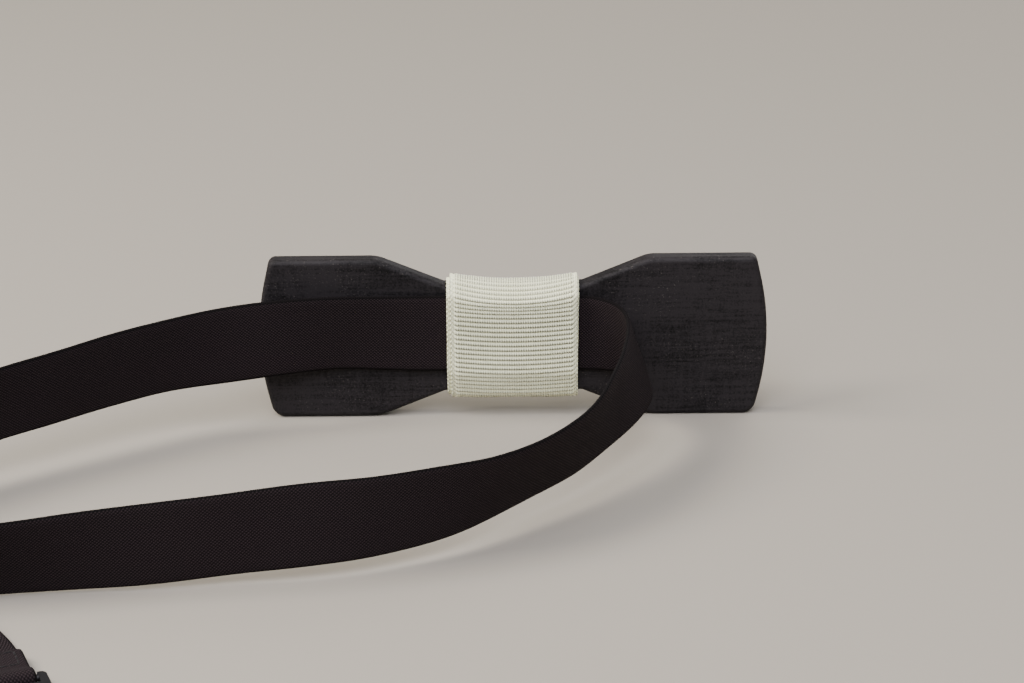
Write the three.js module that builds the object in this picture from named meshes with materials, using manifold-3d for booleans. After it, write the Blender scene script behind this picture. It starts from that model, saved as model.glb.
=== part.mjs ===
// Wooden bow tie with a two-turn ribbon knot and an adjustable neck strap with hook and eye.
// Millimetres, +Z up. X runs along the bow, -Y is the side that rests on the collar.
// The origin is the middle of the knot's rear face.
import * as THREE from "three";
import { mergeVertices } from "three/addons/utils/BufferGeometryUtils.js";
import Module from "manifold-3d";

const wasm = await Module();
wasm.setup();

// ---- driving dimensions -------------------------------------------------------------------

const GAP = 0.3; // clearance between pieces that touch

// wooden bow
const BOW_HALF_WIDTH = 50;
const BOW_HALF_HEIGHT = 16.5;
const BOW_THICKNESS = 4;
const BOW_EDGE_ROUND = 1.2; // round-over along every edge
const BOW_END_SAGITTA = 2.6; // how far each end bows outwards
const BOW_CORNER = 2.3; // corner radius of each wing
const WING_INNER_X = 26.5; // where a wing's straight edge starts to slope in to the waist
const WAIST_MARGIN = 1.75; // the waist's edge beyond the tape's upper edge
const SLOPE_EASE = 1; // how softly the slope leaves the waist and meets the wing's edge

// knot ribbon
const RIBBON_WIDTH = 25.4;
const RIBBON_THICKNESS = 0.4;
const RIBBON_END_OVERLAP = 0.3; // share of the waist's underside that the outer end covers

// neck tape
const TAPE_WIDTH = 15.9;
const TAPE_THICKNESS = 0.9;
const TAPE_RISE = 1.5; // the tape's middle above the bow's middle, inside the knot
const EYE_LIP = 11; // folded-back end sewn down behind the eye
const ADJUSTER_LIP = 9.5; // folded-back end sewn down behind the adjuster's middle bar

// metal fittings
const BAR_RADIUS = 0.6; // round bars that the tape turns over
const SIDE_CLEARANCE = 0.35; // from the tape's selvedge to a fitting's side rail
const RAIL_WIDTH = 1.4;
const PLATE_THICKNESS = 1.2;
const FOLD_CLEARANCE = 0.65; // from the tape's fold to the cross piece in front of it
const ADJUSTER_HALF_LENGTH = 4.8; // outer bars from the middle bar
const HOOK_TONGUE_WIDTH = 6;
const HOOK_CURL_INSIDE = 1.1; // inner radius of the hook's curl
const EYE_SLOT_LENGTH = 3.4;
const EYE_SLOT_WIDTH = 7;
const EYE_BRIDGE = 2;

// where the fittings sit along the straight end of the strap
const HOOK_BAR_Y = -134;
const ADJUSTER_Y = -80;

// The tape's centreline from the hook to the eye: x, y, z of its middle, and the lean of its
// width from upright, in degrees, towards the left of travel. y is counted from the tape's own
// plane inside the knot. The route is laid round a knot of the half width given below, and both
// its sides move outwards with a wider one.
const ROUTE_KNOT_HALF_WIDTH = 12.7;
const TAPE_ROUTE = [
  [-124, -134, -6.7, 0], [-124, -121, -6.7, 0], [-124, -108, -6.7, 0],
  [-124, -95, -6.7, 0], [-124, -83, -6.7, 0], [-124, -74, -6.7, 0],
  [-123.2, -64, -6.2, 0], [-119.8, -54.5, -5, -3], [-113.8, -45.5, -3.4, -7],
  [-105.8, -37.2, -2, -9], [-96.6, -29.5, -0.9, -10],
  [-86.8, -22.6, -0.3, -9], [-76.8, -15.3, 0.3, -7], [-66.5, -9, 0.8, -7],
  [-55.6, -5.2, 1.4, -1], [-45, -3, 2, -2], [-35, -1.1, 2.1, -6],
  [-26, -0.2, 1.7, -3], [-19, 0, 1.5, 0], [-12, 0, 1.5, 0], [-4, 0, 1.5, 0], [4, 0, 1.5, 0],
  [11, 0, 1.5, 0], [16.4, -0.6, 1.4, -4], [20.8, -3, 1.3, -11], [23.6, -7.6, 1, -16],
  [24.2, -14, 0.7, -17], [22.6, -22, 0.2, -10], [19, -31.5, -0.9, 3], [13, -42.6, -3, 17],
  [4.8, -51.8, -4.4, 24], [-4, -59.4, -5.1, 21], [-14, -65, -5.6, 10], [-25, -69.3, -6, 4],
  [-37.3, -72.2, -6.2, 0], [-50, -74.3, -6.8, 3], [-64, -76, -7.8, 4], [-76, -77.5, -8.3, 9],
  [-87, -79.2, -8.6, 14], [-96, -80.6, -8.6, 13], [-104.5, -82, -8.5, 9],
  [-109.8, -84.3, -8.5, 5], [-111.6, -88.6, -8.5, 4], [-109, -92.8, -8.5, 14],
  [-103.6, -94.2, -9.8, 38], [-98.2, -94.3, -12.7, 66], [-93.4, -95.9, -15.2, 85],
  [-90.1, -99.6, -15.95, 90], [-87.9, -104.1, -15.95, 90], [-85.95, -108.7, -15.95, 90],
  [-84.1, -113.4, -15.95, 90],
];
const STEPS_PER_SPAN = 3;

// ---- sizes that follow ----------------------------------------------------------------------

const FOLD_RADIUS = BAR_RADIUS + GAP + TAPE_THICKNESS / 2; // of the tape's middle round a bar
const LAYER_PITCH = TAPE_THICKNESS + GAP;
const RAIL_INSIDE = TAPE_WIDTH / 2 + SIDE_CLEARANCE;
const RAIL_OUTSIDE = RAIL_INSIDE + RAIL_WIDTH;
const WINDOW_END = FOLD_RADIUS + TAPE_THICKNESS / 2 + FOLD_CLEARANCE;
const TAIL_HEIGHT = 2 * FOLD_RADIUS; // from the tape's middle to the middle of its returning run
const WAIST_HALF_LENGTH = RIBBON_WIDTH / 2 + GAP;
const WAIST_HALF_HEIGHT = TAPE_RISE + TAPE_WIDTH / 2 + WAIST_MARGIN;
const TAPE_PLANE = -(BOW_THICKNESS / 2 + GAP + TAPE_THICKNESS / 2);
const KNOT_REAR = TAPE_PLANE - TAPE_THICKNESS / 2 - 2 * (GAP + RIBBON_THICKNESS);
const KNOT_STRETCH = RIBBON_WIDTH / 2 - ROUTE_KNOT_HALF_WIDTH;
const ROUTE = TAPE_ROUTE.map(([x, ...rest]) => [x + Math.sign(x) * KNOT_STRETCH, ...rest]);
const [STRAIGHT_X, , STRAIGHT_Z] = ROUTE[0];

const X = new THREE.Vector3(1, 0, 0);
const Y = new THREE.Vector3(0, 1, 0);
const Z = new THREE.Vector3(0, 0, 1);

// ---- materials ------------------------------------------------------------------------------

const stainedWood = () => new THREE.MeshStandardMaterial({ color: 0x28252a, roughness: 0.6 });
const ribbonCloth = () => new THREE.MeshStandardMaterial({ color: 0xc6c5b8, roughness: 0.7 });
const tapeCloth = () => new THREE.MeshStandardMaterial({ color: 0x1e191b, roughness: 0.9 });
const blackMetal = () =>
  new THREE.MeshStandardMaterial({ color: 0x17171a, roughness: 0.35, metalness: 0.8 });

// ---- helpers --------------------------------------------------------------------------------

// A closed geometry as a solid that can be joined and cut.
function solidOf(geometry) {
  const bare = geometry.clone();
  bare.deleteAttribute("normal");
  bare.deleteAttribute("uv");
  const merged = mergeVertices(bare, 1e-4);
  return new wasm.Manifold(new wasm.Mesh({
    numProp: 3,
    vertProperties: new Float32Array(merged.attributes.position.array),
    triVerts: new Uint32Array(merged.index.array),
  }));
}

function geometryOf(solid) {
  const mesh = solid.getMesh();
  const geometry = new THREE.BufferGeometry();
  geometry.setAttribute("position", new THREE.BufferAttribute(mesh.vertProperties, 3));
  geometry.setIndex(new THREE.BufferAttribute(mesh.triVerts, 1));
  geometry.computeVertexNormals();
  return geometry;
}

// The outline that lies a radius outside a convex row of centres, given counter-clockwise.
function roundedShape(centres, radius) {
  const shape = new THREE.Shape();
  centres.forEach(([x, y], i) => {
    const before = centres[(i + centres.length - 1) % centres.length];
    const after = centres[(i + 1) % centres.length];
    const start = Math.atan2(y - before[1], x - before[0]) - Math.PI / 2;
    const end = Math.atan2(after[1] - y, after[0] - x) - Math.PI / 2;
    shape.absarc(x, y, radius, start, end, false);
  });
  return shape;
}

const roundedBox = (x0, x1, y0, y1, radius) => roundedShape([
  [x0 + radius, y0 + radius], [x1 - radius, y0 + radius],
  [x1 - radius, y1 - radius], [x0 + radius, y1 - radius],
], radius);

// A plate outline in u, v, raised to lie between two heights in w.
function plate(shape, low, high) {
  const geometry = new THREE.ExtrudeGeometry(shape, {
    depth: high - low, bevelEnabled: false, curveSegments: 6,
  });
  return geometry.translate(0, 0, low);
}

// A side outline in u, w, extruded across v between two places.
function sidePiece(shape, from, to) {
  const geometry = new THREE.ExtrudeGeometry(shape, {
    depth: to - from, bevelEnabled: false, curveSegments: 8,
  });
  return geometry.rotateX(Math.PI / 2).translate(0, to, 0);
}

// A round bar across v at u, w, let into both side rails.
function bar(u, w) {
  const geometry = new THREE.CylinderGeometry(BAR_RADIUS, BAR_RADIUS, RAIL_INSIDE + RAIL_OUTSIDE, 24);
  return geometry.translate(u, 0, w);
}

// A flat strip through stations of a middle point and a width direction.
function strip(stations) {
  const positions = [];
  const index = [];
  stations.forEach(({ p, up }, i) => {
    const before = stations[Math.max(i - 1, 0)].p;
    const after = stations[Math.min(i + 1, stations.length - 1)].p;
    const along = after.clone().sub(before).normalize();
    const normal = along.clone().cross(up).normalize();
    const across = normal.clone().cross(along);
    for (const [a, n] of [[-1, -1], [1, -1], [1, 1], [-1, 1]]) {
      const corner = p.clone()
        .addScaledVector(across, (a * TAPE_WIDTH) / 2)
        .addScaledVector(normal, (n * TAPE_THICKNESS) / 2);
      positions.push(...corner.toArray());
    }
    if (i > 0) {
      for (let j = 0; j < 4; j++) {
        const a = 4 * (i - 1) + j;
        const b = 4 * (i - 1) + ((j + 1) % 4);
        index.push(a, b, b + 4, a, b + 4, a + 4);
      }
    }
  });
  const last = 4 * (stations.length - 1);
  index.push(0, 2, 1, 0, 3, 2, last, last + 1, last + 2, last, last + 2, last + 3);
  const geometry = new THREE.BufferGeometry();
  geometry.setAttribute("position", new THREE.Float32BufferAttribute(positions, 3));
  geometry.setIndex(index);
  geometry.computeVertexNormals();
  return geometry;
}

// Uniform Catmull-Rom through rows of numbers, at a place between row 0 and the last row.
function along(rows, place) {
  const i = Math.min(Math.floor(place), rows.length - 2);
  const t = place - i;
  const row = (k) => rows[Math.min(Math.max(k, 0), rows.length - 1)];
  const [a, b, c, d] = [row(i - 1), row(i), row(i + 1), row(i + 2)];
  return b.map((_, k) => 0.5 * (2 * b[k] + (c[k] - a[k]) * t
    + (2 * a[k] - 5 * b[k] + 4 * c[k] - d[k]) * t * t
    + (3 * b[k] - a[k] - 3 * c[k] + d[k]) * t * t * t));
}

function routeStations() {
  const count = (ROUTE.length - 1) * STEPS_PER_SPAN;
  const rows = [];
  for (let i = 0; i <= count; i++) rows.push(along(ROUTE, i / STEPS_PER_SPAN));
  return rows.map(([x, y, z, lean], i) => {
    const next = rows[Math.min(i + 1, count)];
    const last = rows[Math.max(i - 1, 0)];
    const travel = new THREE.Vector3(next[0] - last[0], next[1] - last[1], 0).normalize();
    const left = Z.clone().cross(travel);
    const angle = THREE.MathUtils.degToRad(lean);
    const up = Z.clone().multiplyScalar(Math.cos(angle)).addScaledVector(left, Math.sin(angle));
    return { p: new THREE.Vector3(x, y + TAPE_PLANE, z), up };
  });
}

// Stations from rows of u, w in a fitting's own frame.
function stationsAt(frame, rows) {
  return rows.map(([u, w]) => ({
    p: frame.origin.clone().addScaledVector(frame.u, u).addScaledVector(frame.w, w),
    up: frame.v.clone(),
  }));
}

// Half a turn of tape round a bar at height w, from its near side to its far side.
function turnRows(height, firstAngle, lastAngle) {
  const steps = 8;
  const rows = [];
  for (let i = 0; i <= steps; i++) {
    const angle = firstAngle + ((lastAngle - firstAngle) * i) / steps;
    rows.push([FOLD_RADIUS * Math.cos(angle), height + FOLD_RADIUS * Math.sin(angle)]);
  }
  return rows;
}

// ---- frames of the fittings: u away from the strap, v across it, w off the tape's face --------

const backFromKnot = Y.clone().negate();
const outward = X.clone().negate();
const frameAt = (origin, u, w) => ({ origin, u, w, v: w.clone().cross(u) });

const hookFrame = frameAt(
  new THREE.Vector3(STRAIGHT_X, HOOK_BAR_Y + TAPE_PLANE, STRAIGHT_Z), backFromKnot, outward);
const adjusterFrame = frameAt(
  new THREE.Vector3(STRAIGHT_X, ADJUSTER_Y + TAPE_PLANE, STRAIGHT_Z), backFromKnot, outward);

const routed = routeStations();
const eyeEnd = routed[routed.length - 1].p;
const eyeDirection = eyeEnd.clone().sub(routed[routed.length - 2].p).setZ(0).normalize();
const eyeFrame = frameAt(eyeEnd, eyeDirection, Z.clone());

// ---- pieces ---------------------------------------------------------------------------------

// One half of the outline is drawn from the waist round the right wing, then mirrored.
function bowBlank() {
  const halfHeight = BOW_HALF_HEIGHT;
  const endX = BOW_HALF_WIDTH - BOW_END_SAGITTA;
  const right = new THREE.Shape();
  right.moveTo(0, -WAIST_HALF_HEIGHT);
  right.lineTo(WAIST_HALF_LENGTH, -WAIST_HALF_HEIGHT);
  const slopeStart = WAIST_HALF_LENGTH + SLOPE_EASE;
  const slope = (halfHeight - WAIST_HALF_HEIGHT) / (WING_INNER_X - slopeStart);
  right.quadraticCurveTo(slopeStart, -WAIST_HALF_HEIGHT,
    slopeStart + SLOPE_EASE, -WAIST_HALF_HEIGHT - SLOPE_EASE * slope);
  right.lineTo(WING_INNER_X - SLOPE_EASE, -halfHeight + SLOPE_EASE * slope);
  right.quadraticCurveTo(WING_INNER_X, -halfHeight, WING_INNER_X + SLOPE_EASE, -halfHeight);
  right.lineTo(endX - BOW_CORNER, -halfHeight);
  right.quadraticCurveTo(endX, -halfHeight, endX + 0.3, -halfHeight + BOW_CORNER);
  right.quadraticCurveTo(BOW_HALF_WIDTH + BOW_END_SAGITTA - 0.3, 0, endX + 0.3, halfHeight - BOW_CORNER);
  const lower = right.getPoints(10);
  const outline = lower.filter((p) => p.y <= 0);
  const upperRight = outline.map((p) => new THREE.Vector2(p.x, -p.y)).reverse();
  const rightSide = outline.concat(upperRight);
  const leftSide = rightSide.map((p) => new THREE.Vector2(-p.x, p.y)).reverse();
  const points = rightSide.concat(leftSide);
  const unique = points.filter((p, i) => p.distanceTo(points[(i + 1) % points.length]) > 1e-3);
  const geometry = new THREE.ExtrudeGeometry(new THREE.Shape(unique), {
    depth: BOW_THICKNESS - 2 * BOW_EDGE_ROUND,
    bevelThickness: BOW_EDGE_ROUND,
    bevelSize: BOW_EDGE_ROUND,
    bevelOffset: -BOW_EDGE_ROUND,
    bevelSegments: 4,
  });
  geometry.translate(0, 0, -BOW_THICKNESS / 2 + BOW_EDGE_ROUND).rotateX(Math.PI / 2);
  return new THREE.Mesh(geometry, stainedWood());
}

// The ribbon's section spirals twice round the waist and the tape that lies behind it.
function knotRibbon() {
  const front = BOW_THICKNESS / 2;
  const rear = TAPE_PLANE - TAPE_THICKNESS / 2;
  const tapeLow = TAPE_RISE - TAPE_WIDTH / 2;
  const tapeHigh = TAPE_RISE + TAPE_WIDTH / 2;
  const corners = [
    [rear, tapeLow], [-front, -WAIST_HALF_HEIGHT], [front, -WAIST_HALF_HEIGHT],
    [front, WAIST_HALF_HEIGHT], [-front, WAIST_HALF_HEIGHT], [rear, tapeHigh],
  ];
  const count = corners.length;
  const pitch = RIBBON_THICKNESS + GAP;
  const normalAfter = (i) => {
    const [x, y] = corners[i % count];
    const [nx, ny] = corners[(i + 1) % count];
    return Math.atan2(ny - y, nx - x) - Math.PI / 2;
  };
  // rows of corner point, outward angle and layer; the layer steps up along the underside
  const rows = [];
  const underside = 1;
  const fan = 3;
  const mid = (share) => corners[underside].map((c, k) => c + (corners[underside + 1][k] - c) * share);
  rows.push([mid(0.5), normalAfter(underside), 0]);
  for (let turn = 0; turn < 2; turn++) {
    for (let step = 1; step <= count; step++) {
      const i = (underside + step) % count;
      const start = normalAfter(i + count - 1);
      let sweep = normalAfter(i) - start;
      if (sweep < 0) sweep += 2 * Math.PI;
      for (let f = 0; f <= fan; f++) rows.push([corners[i], start + (sweep * f) / fan, turn]);
    }
    const share = turn === 0 ? 0.45 : RIBBON_END_OVERLAP;
    rows.push([mid(share), normalAfter(underside), turn + Math.min(share / 0.45, 1)]);
  }
  const at = ([[x, y], angle, layer], offset) => {
    const out = GAP + RIBBON_THICKNESS / 2 + layer * pitch + offset;
    return new THREE.Vector2(x + out * Math.cos(angle), y + out * Math.sin(angle));
  };
  const outer = rows.map((row) => at(row, RIBBON_THICKNESS / 2));
  const inner = rows.map((row) => at(row, -RIBBON_THICKNESS / 2)).reverse();
  const geometry = new THREE.ExtrudeGeometry(new THREE.Shape(outer.concat(inner)), {
    depth: RIBBON_WIDTH, bevelEnabled: false,
  });
  geometry.translate(0, 0, -RIBBON_WIDTH / 2);
  geometry.applyMatrix4(new THREE.Matrix4().makeBasis(Y, Z, X));
  return new THREE.Mesh(geometry, ribbonCloth());
}

// From the open fold round the hook's bar, through the knot, to the sewn fold round the eye's bar.
function neckTape() {
  const hookTurn = turnRows(FOLD_RADIUS, Math.PI / 2, -Math.PI / 2);
  const eyeTurn = turnRows(FOLD_RADIUS, -Math.PI / 2, Math.PI / 2);
  const eyeLip = [
    [-1.6, 2 * FOLD_RADIUS - 0.35], [-3, LAYER_PITCH + 0.25], [-4.4, LAYER_PITCH], [-EYE_LIP, LAYER_PITCH],
  ];
  const stations = [
    ...stationsAt(hookFrame, [[-1, TAIL_HEIGHT], ...hookTurn.slice(0, -1)]),
    ...routed.slice(0, -1),
    ...stationsAt(eyeFrame, [...eyeTurn, ...eyeLip]),
  ];
  return new THREE.Mesh(strip(stations), tapeCloth());
}

// The returning run of the strap between the adjuster and the hook.
function tapeTail() {
  const length = (ADJUSTER_Y - HOOK_BAR_Y);
  const from = length - 1 - GAP;
  const to = ADJUSTER_LIP + 1 + GAP;
  const rows = [[to, TAIL_HEIGHT], [from, TAIL_HEIGHT]];
  return new THREE.Mesh(strip(stationsAt(adjusterFrame, rows)), tapeCloth());
}

// The strap's end, turned round the adjuster's middle bar and sewn to itself.
function adjusterFold() {
  const height = LAYER_PITCH + FOLD_RADIUS;
  const rows = [
    [ADJUSTER_LIP + 1, TAIL_HEIGHT], [4.2, TAIL_HEIGHT], [2.6, TAIL_HEIGHT + 0.35],
    [1.2, height + FOLD_RADIUS - 0.12],
    ...turnRows(height, Math.PI / 2, (3 * Math.PI) / 2),
    [ADJUSTER_LIP, LAYER_PITCH],
  ];
  return new THREE.Mesh(strip(stationsAt(adjusterFrame, rows)), tapeCloth());
}

function seat(geometry, frame) {
  const mesh = new THREE.Mesh(geometry, blackMetal());
  mesh.setRotationFromMatrix(new THREE.Matrix4().makeBasis(frame.u, frame.v, frame.w));
  mesh.position.copy(frame.origin);
  return mesh;
}

// Two arched side rails and three bars: the strap runs between the outer bars and the middle one.
function slideAdjuster() {
  const outerBarHeight = -(TAPE_THICKNESS / 2 + GAP + BAR_RADIUS);
  const middleBarHeight = LAYER_PITCH + FOLD_RADIUS;
  const arch = roundedShape([
    [-ADJUSTER_HALF_LENGTH, outerBarHeight], [ADJUSTER_HALF_LENGTH, outerBarHeight],
    [0, middleBarHeight],
  ], BAR_RADIUS + 0.4);
  let solid = solidOf(sidePiece(arch, RAIL_INSIDE, RAIL_OUTSIDE))
    .add(solidOf(sidePiece(arch, -RAIL_OUTSIDE, -RAIL_INSIDE)));
  for (const [u, w] of [
    [-ADJUSTER_HALF_LENGTH, outerBarHeight], [ADJUSTER_HALF_LENGTH, outerBarHeight],
    [0, middleBarHeight],
  ]) {
    solid = solid.add(solidOf(bar(u, w)));
  }
  return seat(geometryOf(solid), adjusterFrame);
}

// A plate between two rails, open at the back where a round bar carries the tape.
function fittingPlate(length) {
  const low = FOLD_RADIUS - PLATE_THICKNESS / 2;
  const high = FOLD_RADIUS + PLATE_THICKNESS / 2;
  const outline = roundedBox(-1, length, -RAIL_OUTSIDE, RAIL_OUTSIDE, 1);
  const window = roundedBox(-4, WINDOW_END, -RAIL_INSIDE, RAIL_INSIDE, 0.4);
  return solidOf(plate(outline, low, high))
    .subtract(solidOf(plate(window, low - 1, high + 1)))
    .add(solidOf(bar(0, FOLD_RADIUS)));
}

function hook() {
  const crossEnd = WINDOW_END + 3;
  const low = FOLD_RADIUS - PLATE_THICKNESS / 2;
  const high = FOLD_RADIUS + PLATE_THICKNESS / 2;
  const centreU = crossEnd + 3.4;
  const centreW = high + HOOK_CURL_INSIDE;
  const tipU = centreU - 3;
  const outerRadius = HOOK_CURL_INSIDE + PLATE_THICKNESS;
  const profile = new THREE.Shape();
  profile.moveTo(crossEnd - 1, low);
  profile.absarc(centreU, centreW, outerRadius, -Math.PI / 2, Math.PI / 2, false);
  profile.absarc(tipU, centreW + HOOK_CURL_INSIDE + PLATE_THICKNESS / 2, PLATE_THICKNESS / 2,
    Math.PI / 2, (3 * Math.PI) / 2, false);
  profile.absarc(centreU, centreW, HOOK_CURL_INSIDE, Math.PI / 2, -Math.PI / 2, true);
  profile.lineTo(crossEnd - 1, high);
  const tongue = sidePiece(profile, -HOOK_TONGUE_WIDTH / 2, HOOK_TONGUE_WIDTH / 2);
  return seat(geometryOf(fittingPlate(crossEnd).add(solidOf(tongue))), hookFrame);
}

function eye() {
  const slotStart = WINDOW_END + EYE_BRIDGE;
  const slotEnd = slotStart + EYE_SLOT_LENGTH;
  const slot = roundedBox(slotStart, slotEnd, -EYE_SLOT_WIDTH / 2, EYE_SLOT_WIDTH / 2, 0.9);
  const solid = fittingPlate(slotEnd + EYE_BRIDGE).subtract(solidOf(plate(slot, -1, 5)));
  return seat(geometryOf(solid), eyeFrame);
}

// ---- assembly -------------------------------------------------------------------------------

const bowTie = new THREE.Group();
bowTie.position.y = -KNOT_REAR;
const pieces = {
  bow_blank: bowBlank(),
  knot_ribbon: knotRibbon(),
  neck_tape: neckTape(),
  tape_tail: tapeTail(),
  adjuster_fold: adjusterFold(),
  slide_adjuster: slideAdjuster(),
  hook: hook(),
  eye: eye(),
};
for (const [name, mesh] of Object.entries(pieces)) {
  mesh.name = name;
  bowTie.add(mesh);
}

export default bowTie;
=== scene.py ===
"""A wooden bow tie with a ribbon knot and an adjustable neck strap, built round its frame."""

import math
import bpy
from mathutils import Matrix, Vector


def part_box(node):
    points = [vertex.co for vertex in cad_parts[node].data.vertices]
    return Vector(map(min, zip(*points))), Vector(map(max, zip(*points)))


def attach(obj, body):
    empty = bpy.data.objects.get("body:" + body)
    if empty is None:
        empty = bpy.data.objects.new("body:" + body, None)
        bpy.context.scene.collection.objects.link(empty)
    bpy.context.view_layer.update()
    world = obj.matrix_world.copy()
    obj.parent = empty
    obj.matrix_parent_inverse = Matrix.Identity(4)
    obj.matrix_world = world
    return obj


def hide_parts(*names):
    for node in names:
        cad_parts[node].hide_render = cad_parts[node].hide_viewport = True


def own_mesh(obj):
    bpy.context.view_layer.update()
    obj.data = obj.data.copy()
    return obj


bl_info = {
    "name": "Wooden Bow Tie",
    "version": (1, 0, 0),
    "blender": (4, 5, 0),
    "location": "3D View > Sidebar > Bow Tie",
    "description": "Builds a stained wooden bow tie, its ribbon knot, its neck strap and fittings",
    "category": "Add Mesh",
}

import bmesh
import bpy
from bpy.props import FloatProperty, PointerProperty, StringProperty
from mathutils import Matrix, Vector, noise

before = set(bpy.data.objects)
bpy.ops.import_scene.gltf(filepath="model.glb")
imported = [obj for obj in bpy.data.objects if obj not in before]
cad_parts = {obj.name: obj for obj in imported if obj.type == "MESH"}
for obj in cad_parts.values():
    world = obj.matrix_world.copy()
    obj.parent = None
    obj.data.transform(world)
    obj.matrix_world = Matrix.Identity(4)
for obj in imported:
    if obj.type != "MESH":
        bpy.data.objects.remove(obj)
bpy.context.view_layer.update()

# ---- sizes, in metres, from the frame and the part's own values ------------------------------

MM = 0.001
GAP = 0.3 * MM  # the part's clearance between pieces that touch

BOW_LOW, BOW_HIGH = (Vector(corner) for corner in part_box("bow_blank"))
RIBBON_LOW, RIBBON_HIGH = (Vector(corner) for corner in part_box("knot_ribbon"))
TAIL_LOW, TAIL_HIGH = (Vector(corner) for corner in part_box("tape_tail"))

BOW_MIDDLE_Y = (BOW_LOW.y + BOW_HIGH.y) / 2
BOW_THICKNESS = BOW_HIGH.y - BOW_LOW.y
TABLE_Z = BOW_LOW.z
TAPE_WIDTH = TAIL_HIGH.z - TAIL_LOW.z
TAPE_THICKNESS = TAIL_HIGH.x - TAIL_LOW.x
TAPE_PLANE_Y = BOW_LOW.y - GAP - TAPE_THICKNESS / 2
RIBBON_WIDTH = RIBBON_HIGH.x - RIBBON_LOW.x

WAIST_HALF_HEIGHT = 11.2 * MM
WAIST_HOLLOW = 1.1 * MM  # how much lower the waist's top is at its middle, under the ribbon
TAPE_CORNER = 0.4 * MM  # the ribbon's bend over an edge of the tape
TAPE_RISE = 1.5 * MM  # how far above the waist's middle the tape passes the knot
SLACK_ROUND = 1.5 * MM  # the ribbon's slacker turn under the rear of the waist
SLOPE_START_X = RIBBON_WIDTH / 2 + GAP + 0.6 * MM  # where the waist begins to widen
WING_INNER_X = 26.5 * MM  # where a wing reaches its full height
WING_CORNER = 2.6 * MM  # its rounding there, on the lower edge
END_SAGITTA = 2.6 * MM  # how far a wing's end bulges at its middle
FOOT_X = BOW_HIGH.x - 0.93 * END_SAGITTA  # the tip of a foot, before its corner is rounded
FOOT_CORNER = 2.1 * MM
TOP_CORNER = 1.2 * MM  # the upper edge's corners are sharper than the lower one's

BAR_RADIUS = 0.6 * MM  # of the round bars that the tape folds over
FOLD_RADIUS = BAR_RADIUS + GAP + TAPE_THICKNESS / 2
LAYER_PITCH = TAPE_THICKNESS + GAP
TAIL_HEIGHT = 2 * FOLD_RADIUS  # how far the returning run stands off the strap
EYE_LIP = 11 * MM  # from the bar to the end of the strap's lip
ADJUSTER_LIP = 9.5 * MM
HOOK_JOIN = 1.3 * MM  # the hook's fold meets the returning run this far before the bar
ADJUSTER_JOIN = ADJUSTER_LIP + 1 * MM  # and the adjuster's fold meets it here
ADJUSTER_Y = -80 * MM
TAPE_COLUMNS = 10
TAPE_STEP = 1.1 * MM
FOLD_STEP = 0.45 * MM
STITCH_MARGIN = 1.6 * MM  # from the tape's edge to its stitching
EYE_STITCHES = (-5.2 * MM, 1.2 * MM - EYE_LIP)  # where the box of stitches starts and ends
ADJUSTER_STITCHES = (4.6 * MM, ADJUSTER_LIP - 1 * MM)

# The strap's centreline from the hook to the eye, laid as the part's own strap is: x, y and z of
# its middle in millimetres, and the lean of its width from upright, in degrees. y is counted from
# its own plane inside the knot.
TAPE_ROUTE = [
    (-124, -134, -6.7, 0), (-124, -121, -6.7, 0), (-124, -108, -6.7, 0),
    (-124, -95, -6.7, 0), (-124, -83, -6.7, 0), (-124, -74, -6.7, 0),
    (-123.2, -64, -6.2, 0), (-119.8, -54.5, -5, -3), (-113.8, -45.5, -3.4, -7),
    (-105.8, -37.2, -2, -9), (-96.6, -29.5, -0.9, -10),
    (-86.8, -22.6, -0.3, -9), (-76.8, -15.3, 0.3, -7), (-66.5, -9, 0.8, -7),
    (-55.6, -5.2, 1.4, -1), (-45, -3, 2, -2), (-35, -1.1, 2.1, -6),
    (-26, -0.2, 1.7, -3), (-19, 0, 1.5, 0), (-12, 0, 1.5, 0), (-4, 0, 1.5, 0), (4, 0, 1.5, 0),
    (11, 0, 1.5, 0), (16.4, -0.6, 1.4, -4), (20.8, -3, 1.3, -11), (23.6, -7.6, 1, -16),
    (24.2, -14, 0.7, -17), (22.6, -22, 0.2, -10), (19, -31.5, -0.9, 3), (13, -42.6, -3, 17),
    (4.8, -51.8, -4.4, 24), (-4, -59.4, -5.1, 21), (-14, -65, -5.6, 10), (-25, -69.3, -6, 4),
    (-37.3, -72.2, -6.2, 0), (-50, -74.3, -6.8, 3), (-64, -76, -7.8, 4), (-76, -77.5, -8.3, 9),
    (-87, -79.2, -8.6, 14), (-96, -80.6, -8.6, 13), (-104.5, -82, -8.5, 9),
    (-109.8, -84.3, -8.5, 5), (-111.6, -88.6, -8.5, 4), (-109, -92.8, -8.5, 14),
    (-103.6, -94.2, -9.8, 38), (-98.2, -94.3, -12.7, 66), (-93.4, -95.9, -15.2, 85),
    (-90.1, -99.6, -15.95, 90), (-87.9, -104.1, -15.95, 90), (-85.95, -108.7, -15.95, 90),
    (-84.1, -113.4, -15.95, 90),
]
# stretches of the route, by point, where the strap is held flat by the knot or a fitting
HELD_STRETCHES = ((0, 6), (17, 23), (45, 50))
ROUTE_STEPS = 8
STRAIGHT_X, HOOK_BAR_Y, STRAIGHT_Z = (value * MM for value in TAPE_ROUTE[0][:3])

X, Y, Z = Vector((1, 0, 0)), Vector((0, 1, 0)), Vector((0, 0, 1))


# ---- materials -------------------------------------------------------------------------------

PER_MM = 1 / MM  # a pattern on Object coordinates at scale 2 * PER_MM has two spots a millimetre


def linear(colour):
    """An sRGB hex value such as #25232a as linear red, green, blue and alpha."""
    values = [int(colour[i : i + 2], 16) / 255 for i in (1, 3, 5)]
    return [v / 12.92 if v < 0.04045 else ((v + 0.055) / 1.055) ** 2.4 for v in values] + [1.0]


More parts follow.
